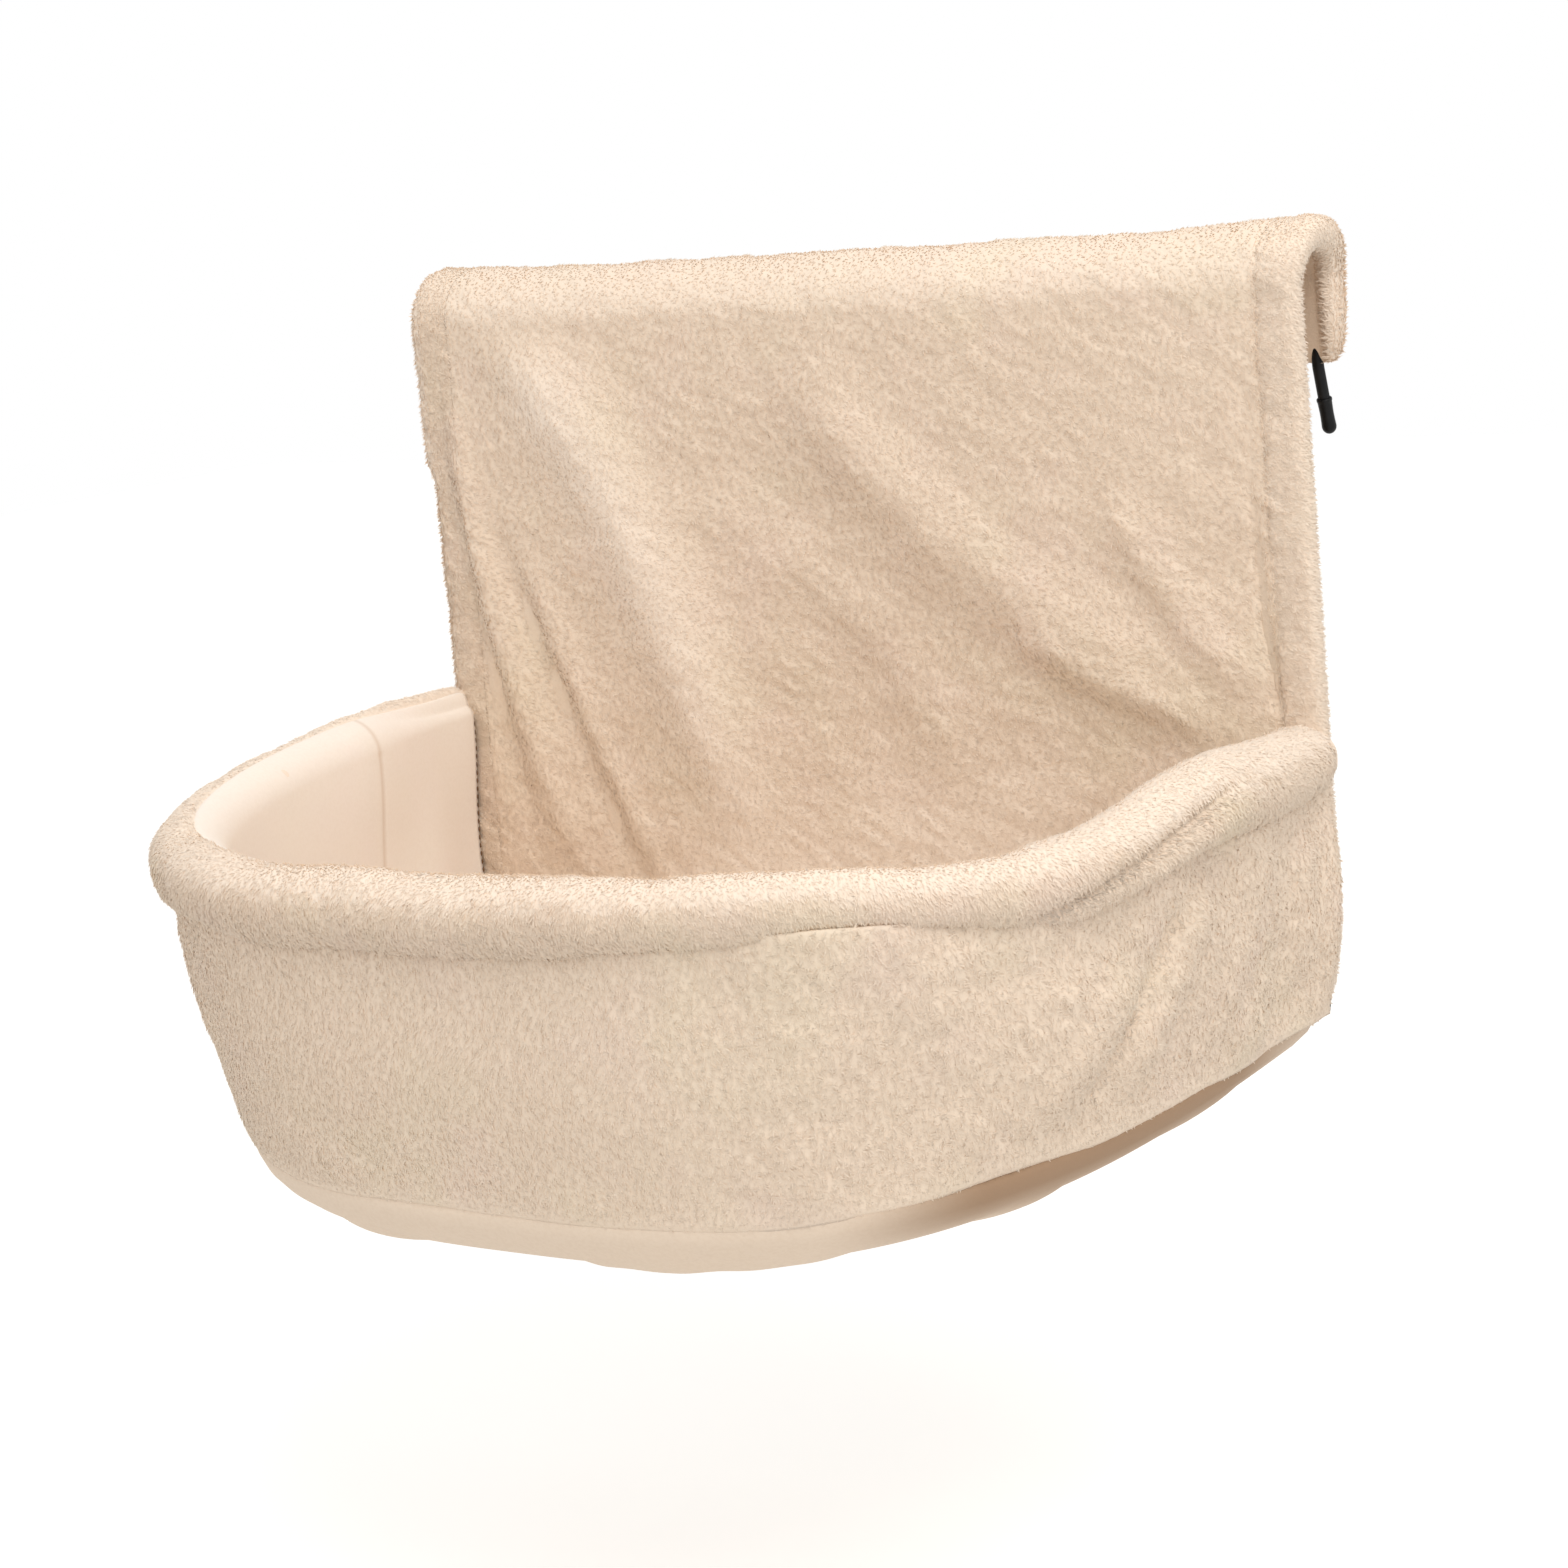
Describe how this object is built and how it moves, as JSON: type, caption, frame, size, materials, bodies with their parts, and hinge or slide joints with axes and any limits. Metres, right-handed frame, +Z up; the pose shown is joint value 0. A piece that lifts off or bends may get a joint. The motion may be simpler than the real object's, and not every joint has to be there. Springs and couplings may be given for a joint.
{
  "type": "radiator cat bed",
  "caption": "Plush hanging cat bed: a soft basket on a bent rod frame whose padded top hooks over a radiator.",
  "frame": {"origin": "middle of the hook seat: the lining inside the bend, where it rests on the radiator's top edge", "axes": "+X along the panel to the right as seen from the room, +Y from the room towards the wall, +Z up; the hook seat faces -Z and the panel's rear face, which lies on the radiator, faces +Y"},
  "size_m": [0.4796, 0.3675, 0.3748],
  "materials": {
    "cream_plush": "short cream-beige pile with soft tufts",
    "pale_lining": "smooth brushed lining, suede-like",
    "base_cloth": "smooth brushed cloth",
    "white_wadding": "loose fibre wadding",
    "rim_foam": "open-cell foam",
    "black_steel": "black powder coat",
    "black_plastic": "moulded black, satin",
    "zip_tape": "woven beige tape",
    "zip_coil": "beige nylon coil",
    "zip_metal": "satin nickel"
  },
  "bodies": {
    "root": {"panel_fleece": "cream_plush", "flap_fleece": "cream_plush", "hem_left": "cream_plush", "hem_right": "cream_plush", "rim_fleece": "cream_plush", "wall_fleece": "cream_plush", "floor_fleece": "cream_plush", "panel_lining": "pale_lining", "flap_lining": "pale_lining", "wall_lining": "pale_lining", "base_cloth": "base_cloth", "panel_wadding": "white_wadding", "flap_wadding": "white_wadding", "wall_wadding": "white_wadding", "base_padding": "white_wadding", "rim_padding": "rim_foam", "basket_hoop": "black_steel", "hook_rod_left": "black_steel", "hook_rod_right": "black_steel", "top_crossbar": "black_steel", "lower_crossbar": "black_steel", "socket_tube_left": "black_steel", "socket_tube_right": "black_steel", "tail_cap_left": "black_plastic", "tail_cap_right": "black_plastic", "zip_tape_front": "zip_tape", "zip_tape_rear": "zip_tape", "zip_coil_front": "zip_coil", "zip_coil_rear": "zip_coil", "zip_stop_left": "zip_metal", "zip_stop_right": "zip_metal"},
    "zip_slider": {"zip_slider": "zip_metal"},
    "zip_pull": {"zip_pull": "zip_metal"}
  },
  "joints": [
    {"name": "zip_slide", "type": "slide", "parent": "root", "child": "zip_slider", "axis": [1, 0, 0], "range_m": [-0.371, 0]},
    {"name": "zip_pull_swing", "type": "hinge", "parent": "zip_slider", "child": "zip_pull", "pos_m": [0.1855, -0.021, -0.3231], "axis": [0, 1, 0], "range_deg": [-80, 80]}
  ]
}
